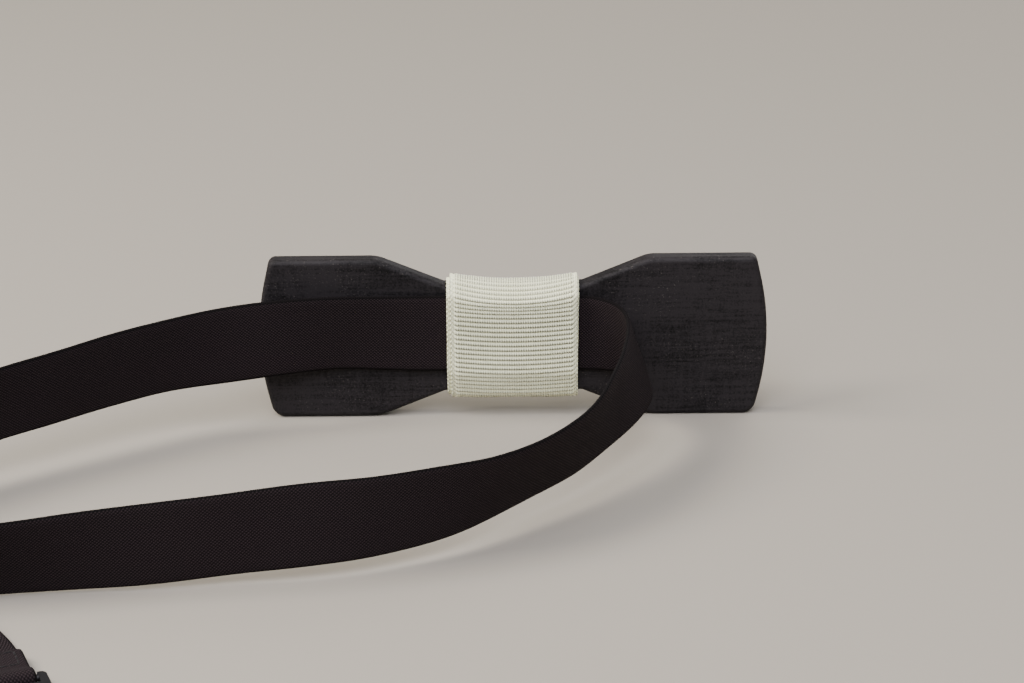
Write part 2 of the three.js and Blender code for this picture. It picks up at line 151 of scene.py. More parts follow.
def add(tree, kind, inputs=None, output=0, **settings):
    """Adds a shader node with its settings, and its inputs as values or as sockets to link.
    Gives back one of the node's outputs, or the node if it has none."""
    made = tree.nodes.new("ShaderNode" + kind)
    for key, value in settings.items():
        setattr(made, key, value)
    for key, value in (inputs or {}).items():
        if isinstance(value, bpy.types.NodeSocket):
            tree.links.new(value, made.inputs[key])
        else:
            made.inputs[key].default_value = value
    return made.outputs[output] if made.outputs else made


def blank_material(name):
    """A new material and its empty node tree."""
    made = bpy.data.materials.new(name)
    made.use_nodes = True
    made.node_tree.nodes.clear()
    return made, made.node_tree


def finish(tree, relief, strength, depth, sockets):
    """Ends a material in one Principled shader, with its relief as bump of a real depth."""
    bump = add(tree, "Bump", {"Height": relief, "Strength": strength, "Distance": depth})
    shader = add(tree, "BsdfPrincipled", {"Normal": bump, **sockets})
    add(tree, "OutputMaterial", {"Surface": shader})


def wave(tree, value, pitch):
    """|cos| of a length, one hump for each pitch, in the value's own unit."""
    turned = add(tree, "Math", {0: value, 1: math.pi / pitch}, operation="MULTIPLY")
    swing = add(tree, "Math", {0: turned}, operation="COSINE")
    return add(tree, "Math", {0: swing}, operation="ABSOLUTE")


def ebonised_wood(options):
    """Close-grained hardwood, sanded and stained black, then oiled: nearly black and matt, with
    fine streaks along the grain, pale flecks of filler, and edges drawn greyer, partly where the
    stain is rubbing off and partly as a painted highlight on the rounded rim. Its pores and sanding
    marks are a few hundredths of a millimetre wide, and are drawn as coarse as they need to show."""
    made, tree = blank_material("ebonised_wood")
    place = add(tree, "TexCoord", output="Object")
    grain = 0.9 / options.grain_spacing
    along = add(tree, "Mapping", {"Vector": place, "Scale": (0.09 * PER_MM, grain, grain)})
    cross = (1.1 * PER_MM, 1.1 * PER_MM, 0.16 * PER_MM)
    across = add(tree, "Mapping", {"Vector": place, "Scale": cross})
    specks = (2.3 * PER_MM, 2.3 * PER_MM, 2.9 * PER_MM)
    finely = add(tree, "Mapping", {"Vector": place, "Scale": specks})
    streaks = add(
        tree, "TexNoise", {"Vector": along, "Scale": 1.0, "Detail": 4.0, "Roughness": 0.6}
    )
    scratches = add(
        tree, "TexNoise", {"Vector": across, "Scale": 1.0, "Detail": 3.0, "Roughness": 0.55}
    )
    pores = add(
        tree, "TexNoise", {"Vector": place, "Scale": 2.6 * PER_MM, "Detail": 2.0, "Roughness": 0.7}
    )
    clouds = add(tree, "TexNoise", {"Vector": place, "Scale": 0.07 * PER_MM, "Detail": 2.0})
    mottle = 0.0
    for layer, share in ((streaks, 0.32), (pores, 0.35), (scratches, 0.16), (clouds, 0.27)):
        mottle = add(tree, "Math", {0: layer, 1: share, 2: mottle}, operation="MULTIPLY_ADD")
    tone = add(tree, "ValToRGB", {"Fac": mottle})
    stops = tone.node.color_ramp.elements
    stops[0].position, stops[0].color = 0.44, linear(options.stain_dark)
    stops[1].position, stops[1].color = 0.59, linear(options.stain_light)
    # flecks: small pale islands of a fine noise, thinned by a coarser one
    fine = add(tree, "TexNoise", {"Vector": finely, "Scale": 1.0, "Detail": 1.0})
    thin = add(tree, "TexNoise", {"Vector": place, "Scale": 0.17 * PER_MM, "Detail": 1.0})
    islands = add(tree, "MapRange", {"Value": fine, "From Min": 0.63, "From Max": 0.7411})
    patches = add(tree, "MapRange", {"Value": thin, "From Min": 0.44, "From Max": 0.6067})
    fleck = add(tree, "Math", {0: islands, 1: patches}, operation="MULTIPLY")
    flecked = add(
        tree, "Mix", {0: fleck, 6: tone, 7: linear(options.fleck_colour)},
        output=2, data_type="RGBA",
    )
    # the rounded edges are drawn lighter: partly wear, partly a painted highlight along the rim
    rim = add(tree, "Attribute", output="Fac", attribute_name="rim")
    wear_and_highlight = add(tree, "Math", {0: rim, 1: clouds}, operation="MULTIPLY")
    rubbed_and_highlighted = add(
        tree, "Math", {0: wear_and_highlight, 1: 1.6 * options.edge_wear_and_highlight}, operation="MULTIPLY", use_clamp=True
    )
    colour = add(
        tree, "Mix", {0: rubbed_and_highlighted, 6: flecked, 7: linear(options.wear_and_highlight_colour)},
        output=2, data_type="RGBA",
    )
    rough = add(
        tree, "MapRange",
        {"Value": mottle, "From Min": 0.3, "From Max": 0.8, "To Min": 0.7, "To Max": 0.52},
    )
    height = add(tree, "Math", {0: fleck, 1: 0.5, 2: mottle}, operation="MULTIPLY_ADD")
    sockets = {"Base Color": colour, "Roughness": rough, "Specular IOR Level": 0.17}
    finish(tree, height, 0.55, 0.12 * MM, sockets)
    return made


def grosgrain(options):
    """Ivory polyester grosgrain: smooth filament yarn, so it has a soft sheen. Stout ribs run
    across it, each bound by fine upright floats that leave dark pin-holes between the ribs. The
    dark between the ribs is partly those pin-holes and partly painted shade in the valleys, and is
    drawn weaker towards the top and in the selvedges. The floats are drawn about twice as coarse as
    real ones, to show."""
    made, tree = blank_material("ivory_grosgrain")
    place = add(tree, "TexCoord", output="Object")
    weave = add(tree, "UVMap", uv_map="weave")
    across, along, _ = add(tree, "SeparateXYZ", {0: weave}).node.outputs
    rib = wave(tree, along, options.rib_pitch / MM)
    float_yarn = wave(tree, across, options.float_pitch / MM)
    hollow = add(tree, "Math", {0: 1.0, 1: rib}, operation="SUBTRACT")
    valley = add(tree, "Math", {0: hollow, 1: 1.2}, operation="POWER")
    opening = add(tree, "Math", {0: float_yarn, 1: -1.35, 2: 1.75}, operation="MULTIPLY_ADD")
    # pin-holes and painted shade in the valleys between the ribs, drawn weaker towards the top and
    # in the selvedges
    slack = add(tree, "Attribute", output="Fac", attribute_name="slack")
    gap = add(tree, "Math", {0: valley, 1: opening}, operation="MULTIPLY")
    pinhole_and_shade = add(tree, "Math", {0: gap, 1: slack}, operation="MULTIPLY", use_clamp=True)
    darkening = add(tree, "Math", {0: pinhole_and_shade, 1: 0.82}, operation="MULTIPLY")
    clouds = add(tree, "TexNoise", {"Vector": place, "Scale": 0.13 * PER_MM, "Detail": 3.0})
    yarn = add(
        tree, "Mix", {0: clouds, 6: linear(options.yarn_shade), 7: linear(options.yarn_light)},
        output=2, data_type="RGBA",
    )
    colour = add(
        tree, "Mix", {0: darkening, 6: yarn, 7: linear(options.hole_and_shade_colour)},
        output=2, data_type="RGBA",
    )
    uneven = add(tree, "TexNoise", {"Vector": weave, "Scale": 3.0, "Detail": 2.0})
    proud = add(tree, "Math", {0: valley, 1: 0.45}, operation="ADD")
    floats = add(tree, "Math", {0: float_yarn, 1: proud}, operation="MULTIPLY")
    height = add(tree, "Math", {0: uneven, 1: 0.35, 2: floats}, operation="MULTIPLY_ADD")
    sockets = {
        "Base Color": colour, "Roughness": 0.55, "Specular IOR Level": 0.4,
        "Sheen Weight": 0.35, "Sheen Roughness": 0.4,
        "Subsurface Weight": 0.05, "Subsurface Radius": (0.8 * MM, 0.8 * MM, 0.6 * MM),
    }
    finish(tree, height, 1.0, 0.14 * MM, sockets)
    return made


def twill_tape(options):
    """Black woven cotton twill tape: soft, matt and slightly fuzzy, with fine slanting ridges of
    yarn and a plain, closer selvedge at each edge. Raised yarns are drawn greyer than the hollows,
    partly from abrasion and partly as a painted highlight on their tops. The yarns are drawn about
    twice as coarse as real ones, to show."""
    made, tree = blank_material("black_twill_tape")
    weave = add(tree, "UVMap", uv_map="weave")
    across, along, _ = add(tree, "SeparateXYZ", {0: weave}).node.outputs
    pitch = options.twill_pitch / MM
    yarn = wave(tree, across, pitch)
    slants = []
    for slope in (0.9, -0.9):
        slanted = add(tree, "Math", {0: along, 1: slope, 2: across}, operation="MULTIPLY_ADD")
        slants.append(wave(tree, slanted, 1.4 * pitch))
    ridge, crossing = slants
    crossed = add(tree, "Math", {0: crossing, 1: 0.3}, operation="ADD")
    ridges = add(tree, "Math", {0: ridge, 1: crossed}, operation="MULTIPLY")
    relief = add(tree, "Math", {0: yarn, 1: 0.2, 2: ridges}, operation="MULTIPLY_ADD")
    fibres = add(
        tree, "TexNoise", {"Vector": weave, "Scale": 2.2, "Detail": 4.0, "Roughness": 0.65}
    )
    from_right = add(tree, "Math", {0: TAPE_WIDTH / MM, 1: across}, operation="SUBTRACT")
    from_edge = add(tree, "Math", {0: across, 1: from_right}, operation="MINIMUM")
    body = add(tree, "MapRange", {"Value": from_edge, "From Min": 0.25, "From Max": 0.65})
    # the raised yarns are drawn lighter than the hollows: partly abrasion, partly a painted
    # highlight on their tops
    peaks = add(tree, "Math", {0: relief, 1: 2.0}, operation="POWER")
    fuzz = add(tree, "Math", {0: fibres, 1: 0.25}, operation="ADD")
    worn_and_highlighted = add(tree, "Math", {0: fuzz, 1: body}, operation="MULTIPLY")
    raised = add(tree, "Math", {0: peaks, 1: worn_and_highlighted}, operation="MULTIPLY", use_clamp=True)
    colour = add(
        tree, "Mix", {0: raised, 6: linear(options.tape_dark), 7: linear(options.tape_light)},
        output=2, data_type="RGBA",
    )
    sheen = add(
        tree, "Mix", {0: raised, 6: linear(options.lint_dark), 7: linear(options.lint_light)},
        output=2, data_type="RGBA",
    )
    height = add(tree, "Math", {0: fibres, 1: 0.4, 2: relief}, operation="MULTIPLY_ADD")
    sockets = {
        "Base Color": colour, "Roughness": 0.95, "Specular IOR Level": 0.12,
        "Sheen Weight": 0.04, "Sheen Roughness": 0.5, "Sheen Tint": sheen,
    }
    finish(tree, height, 0.9, 0.1 * MM, sockets)
    return made


def coated_steel(options):
    """Stamped steel with a baked black coating: satin and faintly pitted, and a little greyer in
    the patches where the coating is thin."""
    made, tree = blank_material("black_coated_steel")
    place = add(tree, "TexCoord", output="Object")
    pits = add(tree, "TexNoise", {"Vector": place, "Scale": 1.4 * PER_MM, "Detail": 3.0})
    clouds = add(tree, "TexNoise", {"Vector": place, "Scale": 0.26 * PER_MM, "Detail": 2.0})
    thin = add(tree, "MapRange", {"Value": clouds, "From Min": 0.35, "From Max": 0.975})
    colour = add(
        tree, "Mix",
        {0: thin, 6: linear(options.coating_colour), 7: linear(options.coating_light)},
        output=2, data_type="RGBA",
    )
    rough = add(tree, "MapRange", {"Value": clouds, "To Min": 0.42, "To Max": 0.6})
    sockets = {"Base Color": colour, "Roughness": rough, "Specular IOR Level": 0.35}
    finish(tree, pits, 0.25, 0.03 * MM, sockets)
    return made


def sewing_thread(options):
    """Spun polyester sewing thread, black with a dull shine, twisted from two plies. The twist is
    drawn coarser than the real one, to show."""
    made, tree = blank_material("black_sewing_thread")
    place = add(tree, "TexCoord", output="Object")
    plies = add(
        tree, "TexWave", {"Vector": place, "Scale": 0.9 * PER_MM, "Distortion": 1.0},
        output="Fac", bands_direction="DIAGONAL",
    )
    colour = add(
        tree, "Mix", {0: plies, 6: linear(options.thread_dark), 7: linear(options.thread_light)},
        output=2, data_type="RGBA",
    )
    sockets = {
        "Base Color": colour, "Roughness": 0.75, "Specular IOR Level": 0.2, "Sheen Weight": 0.05
    }
    finish(tree, plies, 0.5, 0.04 * MM, sockets)
    return made


def paper_sweep(options):
    """A plain pale paper sweep: matt and even."""
    made, tree = blank_material("pale_paper_sweep")
    shader = add(
        tree, "BsdfPrincipled",
        {"Base Color": linear(options.floor_colour), "Roughness": 0.95, "Specular IOR Level": 0.1},
    )
    add(tree, "OutputMaterial", {"Surface": shader})
    return made


# ---- building helpers ------------------------------------------------------------------------


def finished(name, bm, material, smooth=True):
    """The bmesh as an object at the origin, with its material."""
    mesh = bpy.data.meshes.new(name)
    bm.to_mesh(mesh)
    bm.free()
    made = bpy.data.objects.new(name, mesh)
    bpy.context.scene.collection.objects.link(made)
    mesh.materials.append(material)
    if smooth:
        mesh.shade_smooth()
    return made


def applied(piece):
    """Bakes a piece's modifiers into its mesh."""
    depsgraph = bpy.context.evaluated_depsgraph_get()
    depsgraph.update()
    baked = bpy.data.meshes.new_from_object(piece.evaluated_get(depsgraph))
    old = piece.data
    piece.modifiers.clear()
    piece.data = baked
    bpy.data.meshes.remove(old)
    baked.name = piece.name
    return piece


def smoothstep(value):
    """Eases from 0 to 1 as the value goes from 0 to 1."""
    value = min(max(value, 0.0), 1.0)
    return value * value * (3 - 2 * value)


def blended(rows, place):
    """Uniform Catmull-Rom through rows of numbers, at a place between row 0 and the last row."""
    i = min(int(place), len(rows) - 2)
    t = place - i
    nearest = (rows[min(max(k, 0), len(rows) - 1)] for k in (i - 1, i, i + 1, i + 2))
    values = []
    for p, q, r, s in zip(*nearest):
        bend, twist = 2 * p - 5 * q + 4 * r - s, 3 * q - p - 3 * r + s
        values.append(0.5 * (2 * q + (r - p) * t + bend * t**2 + twist * t**3))
    return values


class Path:
    """A polyline with a width direction at each point, read by distance along it."""

    def __init__(self, points, ups):
        self.points, self.ups = points, ups
        self.marks = [0.0]
        for before, after in zip(points, points[1:]):
            self.marks.append(self.marks[-1] + (after - before).length)
        self.length = self.marks[-1]

    def at(self, distance):
        """Point, width direction and normal at a distance."""
        distance = min(max(distance, 0.0), self.length)
        i = max(k for k, mark in enumerate(self.marks[:-1]) if mark <= distance)
        span = self.marks[i + 1] - self.marks[i]
        t = (distance - self.marks[i]) / span
        point = self.points[i].lerp(self.points[i + 1], t)
        first, last = self.travel(i), self.travel(i + 1)
        along = first.lerp(last, t).normalized()
        up = self.ups[i].lerp(self.ups[i + 1], t)
        normal = along.cross(up).normalized()
        return point, normal.cross(along), normal

    def travel(self, i):
        """The direction of travel at a point of the polyline."""
        before = self.points[max(i - 1, 0)]
        after = self.points[min(i + 1, len(self.points) - 1)]
        return (after - before).normalized()


def route_path(steps):
    """The strap's route as points and width directions, a few steps to each span."""
    count = (len(TAPE_ROUTE) - 1) * steps
    rows = [blended(TAPE_ROUTE, i / steps) for i in range(count + 1)]
    points, ups = [], []
    for i, (x, y, z, lean) in enumerate(rows):
        after, before = rows[min(i + 1, count)], rows[max(i - 1, 0)]
        travel = Vector((after[0] - before[0], after[1] - before[1], 0)).normalized()
        left = Z.cross(travel)
        angle = math.radians(lean)
        points.append(Vector((x * MM, y * MM + TAPE_PLANE_Y, z * MM)))
        ups.append(Z * math.cos(angle) + left * math.sin(angle))
    return points, ups


class Seat:
    """A fitting's own frame: u away from the strap, v across it, w off the tape's face."""

    def __init__(self, origin, u, w):
        self.origin, self.u, self.w, self.v = origin, u, w, w.cross(u)

    def at(self, u, v, w):
        return self.origin + self.u * u + self.v * v + self.w * w


ROUTE_POINTS, ROUTE_UPS = route_path(ROUTE_STEPS)
HOOK_SEAT = Seat(Vector((STRAIGHT_X, HOOK_BAR_Y + TAPE_PLANE_Y, STRAIGHT_Z)), -Y, -X)
ADJUSTER_SEAT = Seat(Vector((STRAIGHT_X, ADJUSTER_Y + TAPE_PLANE_Y, STRAIGHT_Z)), -Y, -X)
EYE_TRAVEL = ROUTE_POINTS[-1] - ROUTE_POINTS[-2]
EYE_SEAT = Seat(ROUTE_POINTS[-1], Vector((EYE_TRAVEL.x, EYE_TRAVEL.y, 0)).normalized(), Z)


def turn_rows(height, first, last, steps=14):
    """A turn of tape round a bar at a height, as rows of u and w."""
    angles = [first + (last - first) * i / steps for i in range(steps + 1)]
    return [(FOLD_RADIUS * math.cos(a), height + FOLD_RADIUS * math.sin(a)) for a in angles]


def seated_rows(seat, rows):
    """Rows of u and w on a fitting's seat, as points and width directions."""
    return [seat.at(u, 0, w) for u, w in rows], [seat.v.copy() for _ in rows]


def thickened(piece, thickness):
    """Gives a strip of cloth its thickness, half to each side."""
    solid = piece.modifiers.new("thickness", "SOLIDIFY")
    solid.thickness = thickness
    solid.offset = 0.0
    solid.use_even_offset = False
    return applied(piece)


def tape_strip(name, path, step, material, curl=None):
    """A flat grid of tape laid along a path, its weave map in millimetres, then thickened with
    soft edges. curl gives how far each place lifts off the path, from its distance and place."""
    rows = round(path.length / step)
    bm = bmesh.new()
    bmesh.ops.create_grid(bm, x_segments=TAPE_COLUMNS, y_segments=rows, size=1.0)
    weave = bm.loops.layers.uv.new("weave")
    for face in bm.faces:
        for loop in face.loops:
            x, y, _ = loop.vert.co
            loop[weave].uv = ((x + 1) / 2 * TAPE_WIDTH / MM, (y + 1) / 2 * path.length / MM)
    frames = [path.at(path.length * i / rows) for i in range(rows + 1)]
    for vert in bm.verts:
        row, place = round((vert.co.y + 1) / 2 * rows), vert.co.x
        point, across, normal = frames[row]
        lift = curl(path.length * row / rows, place) if curl else 0.0
        vert.co = point + across * (place * TAPE_WIDTH / 2) + normal * lift
    strip = thickened(finished(name, bm, material), TAPE_THICKNESS)
    soft = strip.modifiers.new("soft edges", "SUBSURF")
    soft.levels = soft.render_levels = 1
    return applied(strip)


# ---- the wooden bow --------------------------------------------------------------------------


def quarter_outline(hollow):
    """The lower right quarter of the bow's outline, from the waist's middle to the end's middle:
    x, z and the radius of each corner."""
    half_width, half_height = BOW_HIGH.x, -BOW_LOW.z
    points = []
    hollow_steps = 8
    for i in range(hollow_steps + 1):
        x = SLOPE_START_X * i / hollow_steps
        dip = hollow * (1 - smoothstep(x / SLOPE_START_X))
        points.append((x, -WAIST_HALF_HEIGHT + dip, 0.0))
    points.append((WING_INNER_X, -half_height, WING_CORNER))
    points.append((FOOT_X, -half_height, FOOT_CORNER))
    radius = (half_height**2 + END_SAGITTA**2) / (2 * END_SAGITTA)
    steps = 9
    for i in range(2, steps + 1):  # the arc's first step belongs to the corner
        z = -half_height * (1 - i / steps)
        x = half_width - radius + math.sqrt(radius**2 - z * z)
        points.append((x, z, 0.0))
    return points


def rounded_over(bm, face, radius, steps=7):
    """Rounds a flat face's rim over: the face is drawn in and out along a quarter circle."""
    inward = outward = 0.0
    for step in range(1, steps + 1):
        turn = math.pi / 2 * step / steps
        further_in, further_out = radius * (1 - math.cos(turn)), radius * math.sin(turn)
        bmesh.ops.inset_region(
            bm, faces=[face], thickness=further_in - inward, depth=further_out - outward,
            use_boundary=True, use_even_offset=True,
        )
        inward, outward = further_in, further_out


def wooden_bow(options):
    """Cut from a board: the outline is filled, thickened, and its edges are rounded over."""
    lower = quarter_outline(0)
    upper = [(x, -z, min(radius, TOP_CORNER)) for x, z, radius in quarter_outline(WAIST_HOLLOW)]
    right = lower + upper[-2::-1]
    left = [(-x, z, radius) for x, z, radius in right[-2:0:-1]]
    bm = bmesh.new()
    half = BOW_THICKNESS / 2 - options.edge_round
    corners = {}
    for x, z, radius in right + left:
        corners.setdefault(radius, []).append(bm.verts.new((x, -half, z)))
    bm.faces.new(bm.verts[:])
    for radius in sorted(corners)[1:]:  # the first is 0, for places with no corner
        bmesh.ops.bevel(
            bm, geom=corners[radius], offset=radius, offset_type="OFFSET", affect="VERTICES",
            segments=6, profile=0.5, material=-1,
        )
    lifted = bmesh.ops.extrude_face_region(bm, geom=bm.faces[:])
    moved = [made for made in lifted["geom"] if isinstance(made, bmesh.types.BMVert)]
    bmesh.ops.translate(bm, verts=moved, vec=(0, 2 * half, 0))
    bmesh.ops.recalc_face_normals(bm, faces=bm.faces)
    bm.normal_update()
    flat_faces = [face for face in bm.faces if abs(face.normal.y) > 0.9]
    for face in flat_faces:
        rounded_over(bm, face, options.edge_round)
    bmesh.ops.translate(bm, verts=bm.verts, vec=(0, BOW_MIDDLE_Y, 0))
    bm.normal_update()
    # 1 on the rounded edges, 0 on the flat faces; the material draws these edges lighter, partly as
    # wear and partly as a painted highlight
    rim = bm.verts.layers.float.new("rim")
    for vert in bm.verts:
        vert[rim] = 1 - abs(vert.normal.y)
    bow = finished("wooden_bow", bm, ebonised_wood(options))
    weighted = bow.modifiers.new("flat faces", "WEIGHTED_NORMAL")
    weighted.keep_sharp = False
    return bow


# ---- the ribbon knot -------------------------------------------------------------------------


def ribbon_corners(round_over):
    """The round corners of what the ribbon is wound on: the centre's y and z counted from the
    bow's middle, and the radius."""
    side = BOW_THICKNESS / 2 - round_over
    waist = WAIST_HALF_HEIGHT - round_over
    rear = TAPE_PLANE_Y - TAPE_THICKNESS / 2 - BOW_MIDDLE_Y + TAPE_CORNER
    reach = TAPE_WIDTH / 2 - TAPE_CORNER
    return [
        (rear, TAPE_RISE - reach, TAPE_CORNER),
        (-BOW_THICKNESS / 2 + SLACK_ROUND, -WAIST_HALF_HEIGHT + SLACK_ROUND, SLACK_ROUND),
        (side, -waist, round_over),
        (side, waist, round_over),
        (-side, waist, round_over),
        (rear, TAPE_RISE + reach, TAPE_CORNER),
    ]


def ribbon_path(thickness, round_over):
    """Two turns round the waist, starting and ending under it; each layer lies on the last."""
    corners = ribbon_corners(round_over)
    count = len(corners)
    pitch = thickness + GAP
    underside = 1  # the corner before the underside's straight run
    fan = 7
    ends = (0.45, 0.3)  # how far along that run each turn ends

    def facing(i):
        """The way the straight run after corner i faces; it touches both corners' rounds."""
        (x, y, radius), (nx, ny, next_radius) = corners[i % count], corners[(i + 1) % count]
        lean = math.acos((radius - next_radius) / math.hypot(nx - x, ny - y))
        return math.atan2(ny - y, nx - x) - lean

    def between(share):
        """A place between the underside's two corners, as a corner of its own."""
        return [a + (b - a) * share for a, b in zip(corners[underside], corners[underside + 1])]

    rows = [(between(0.5), facing(underside), 0.0)]
    for turn, share in enumerate(ends):
        for step in range(1, count + 1):
            i = (underside + step) % count
            start = facing(i + count - 1)
            sweep = (facing(i) - start) % (2 * math.pi)
            rows += [(corners[i], start + sweep * f / fan, float(turn)) for f in range(fan + 1)]
        rows.append((between(share), facing(underside), turn + share / ends[0]))
    points = []
    for (y, z, radius), angle, layer in rows:
        out = radius + GAP + thickness / 2 + layer * pitch
        centre = Vector((0, BOW_MIDDLE_Y + y, z))
        points.append(centre + (Y * math.cos(angle) + Z * math.sin(angle)) * out)
    return Path(points, [X.copy() for _ in points])


def rib_relief(across, distance, pitch, options):
    """How far the ribbon's face stands off its middle layer: ribs that run level and turn up at
    the selvedge, a fine groove along it, and the yarns' own unevenness. The noises have so many
    spots a metre, across the ribbon and along it."""
    edge = options.selvedge_width
    inside = RIBBON_WIDTH / 2 - abs(across)
    slant = (edge - inside) * 0.75 if inside < edge else 0.0
    slant += 0.07 * MM * noise.noise(Vector((across * 70, distance * 330, 1.7)))
    hump = abs(math.cos(math.pi * (distance + slant) / pitch)) ** 0.75
    strand = 0.035 * MM * noise.noise(Vector((across * 800, distance * 800, 4.2)))
    selvedge = 0.05 * MM * smoothstep((edge - inside) / (0.35 * edge))
    groove = 0.09 * MM * math.exp(-(((inside - edge) / (0.12 * MM)) ** 2))
    return options.rib_height * (hump - 0.55) + strand + selvedge - groove


def ribbon_knot(options):
    """A grid of ribbon wound on the spiral. Its ribs are real relief, and curve with the pull."""
    path = ribbon_path(options.ribbon_thickness, options.round_over)
    steps_in_rib = 6
    rows = round(path.length / options.rib_pitch) * steps_in_rib
    pitch = path.length * steps_in_rib / rows
    selvedge_columns, middle_columns = 7, 38
    columns = 2 * selvedge_columns + middle_columns
    half = RIBBON_WIDTH / 2
    edge = options.selvedge_width
    bm = bmesh.new()
    bmesh.ops.create_grid(bm, x_segments=columns, y_segments=rows, size=1.0)
    weave = bm.loops.layers.uv.new("weave")
    # how strongly the material draws pin-holes and painted shade in the valleys between the ribs
    slack = bm.verts.layers.float.new("slack")

    def across_at(x):
        """The grid's columns stand closer in the selvedges than between them."""
        column = (x + 1) / 2 * columns
        if column < selvedge_columns:
            return -half + edge * column / selvedge_columns
        if column > columns - selvedge_columns:
            return half - edge * (columns - column) / selvedge_columns
        share = (column - selvedge_columns) / middle_columns
        return -half + edge + (RIBBON_WIDTH - 2 * edge) * share

    for face in bm.faces:
        for loop in face.loops:
            x, y, _ = loop.vert.co
            loop[weave].uv = ((across_at(x) + half) / MM, (y + 1) / 2 * path.length / MM)
    for vert in bm.verts:
        across = across_at(vert.co.x)
        distance = (vert.co.y + 1) / 2 * path.length
        relief = rib_relief(across, distance, pitch, options)
        centred = 1 - (across / half) ** 2
        point, _, normal = path.at(distance + options.rib_bow * centred)
        # the pull dishes the ribbon into the waist's hollow at the top
        sag = WAIST_HOLLOW * centred * smoothstep(point.z / WAIST_HALF_HEIGHT * 2 - 0.9)
        # the inner turn shows a little past the outer one, which is pulled narrower
        height = (point.z / RIBBON_HIGH.z) * 0.5 + 0.5
        inner_x = across * (1.006 + 0.012 * height) - 0.25 * MM + 0.2 * MM * height
        outer_x = across * 0.98 + 0.25 * MM - 0.15 * MM * height
        outer = smoothstep((distance / path.length - 0.47) / 0.06)  # it steps out half-way
        wander = 0.1 * MM * noise.noise(Vector((distance * 150, 3.1, 0.4)))
        x = inner_x + (outer_x - inner_x) * outer + wander
        vert.co = Vector((x, point.y, point.z - sag)) - normal * relief
        # the dark between the ribs, pin-holes and painted shade in the valleys, is drawn weaker
        # towards the top, and in the selvedges, where the weave is closer
        into_selvedge = smoothstep((abs(across) + edge - half) / (0.35 * edge))
        fade_to_top = 0.62 * smoothstep(height * 2.6 - 1.6)
        vert[slack] = (1.0 - fade_to_top) * (1.0 - 0.6 * into_selvedge)
    knot = finished("grosgrain_knot", bm, grosgrain(options))
    return thickened(knot, options.ribbon_thickness), path


# ---- the strap -------------------------------------------------------------------------------


def strap_path():
    """The whole strap: the fold on the hook's bar, the route, and the fold on the eye's bar with
    its lip laid back along the tape. Also gives where on it the route begins."""
    fold = turn_rows(FOLD_RADIUS, math.pi / 2, -math.pi / 2)
    hook_points, hook_ups = seated_rows(HOOK_SEAT, [(-HOOK_JOIN, TAIL_HEIGHT)] + fold[:-1])
    lip = [  # it settles from the fold onto the tape
        (-1.6 * MM, 2 * FOLD_RADIUS - 0.35 * MM), (-3 * MM, LAYER_PITCH + 0.25 * MM),
        (-4.4 * MM, LAYER_PITCH), (-EYE_LIP, LAYER_PITCH),
    ]
    eye_points, eye_ups = seated_rows(
        EYE_SEAT, turn_rows(FOLD_RADIUS, -math.pi / 2, math.pi / 2) + lip
    )
    points = hook_points + ROUTE_POINTS[:-1] + eye_points
    ups = hook_ups + ROUTE_UPS[:-1] + eye_ups
    return Path(points, ups), len(hook_points)


def strap_freedom(path, first):
    """How free the strap is to curl at each distance: 0 where it is held, 1 in the open."""
    last = len(ROUTE_POINTS) - 2
    held = []
    for ends in HELD_STRETCHES:
        held.append([path.marks[first + min(end * ROUTE_STEPS, last)] for end in ends])
    held.append((held[-1][1], path.length))
    held.append((0.0, held[0][0]))
    reach = 14 * MM

    def freedom(distance):
        gaps = [max(a - distance, distance - b, 0.0) for a, b in held]
        return smoothstep(min(gaps) / reach)

    return freedom


def neck_strap(material):
    """The strap, cupped and rippled a little where it is free."""
    path, first = strap_path()
    freedom = strap_freedom(path, first)
    unevenness = 0.3 * MM  # the noises below vary over a few centimetres

    def curl(distance, place):
        cup = noise.noise(Vector((distance * 22, 0.7, 2.2)))
        ripple = noise.noise(Vector((distance * 48, place * 0.6, 5.0)))
        return freedom(distance) * unevenness * (cup * (place**2 - 0.33) + ripple)

    return tape_strip("neck_strap", path, TAPE_STEP, material, curl), path


def returning_run():
    """The strap's second run between the adjuster's fold and the hook's, butted to both."""
    rows = [(ADJUSTER_JOIN, TAIL_HEIGHT), (ADJUSTER_Y - HOOK_BAR_Y - HOOK_JOIN, TAIL_HEIGHT)]
    points, ups = seated_rows(ADJUSTER_SEAT, rows)
    return Path(points, ups)


def folded_end():
    """The strap's end turned round the adjuster's middle bar, with its lip under it."""
    height = LAYER_PITCH + FOLD_RADIUS
    rows = [  # it rises from the returning run's level onto the bar
        (ADJUSTER_JOIN, TAIL_HEIGHT), (4.2 * MM, TAIL_HEIGHT),
        (2.6 * MM, TAIL_HEIGHT + 0.35 * MM), (1.2 * MM, height + FOLD_RADIUS - 0.12 * MM),
    ]
    rows += turn_rows(height, math.pi / 2, 3 * math.pi / 2)
    rows.append((ADJUSTER_LIP, LAYER_PITCH))
    points, ups = seated_rows(ADJUSTER_SEAT, rows)
    return Path(points, ups)


# ---- stitching -------------------------------------------------------------------------------


def stitch_row(bm, seat, start, end, w, options):
    """A row of lockstitches on a fitting's w level, from one place in u and v to another."""
    start, end = Vector(start), Vector(end)
    count = max(round((end - start).length / options.stitch_length), 1)
    pitch = (end - start) / count
    run = (seat.u * pitch.x + seat.v * pitch.y).normalized()
    side = seat.w.cross(run)
    half_stitch = 0.46 * pitch.length  # each stitch dips into the cloth just short of the next
    thin = options.thread_thickness / 2
    for i in range(count):
        middle = start + pitch * (i + 0.5)
        made = bmesh.ops.create_uvsphere(bm, u_segments=8, v_segments=6, radius=1.0)
        turn = Matrix((side * thin, seat.w * thin, run * half_stitch)).transposed().to_4x4()
        turn.translation = seat.at(middle.x, middle.y, w)
        bmesh.ops.transform(bm, matrix=turn, verts=made["verts"])


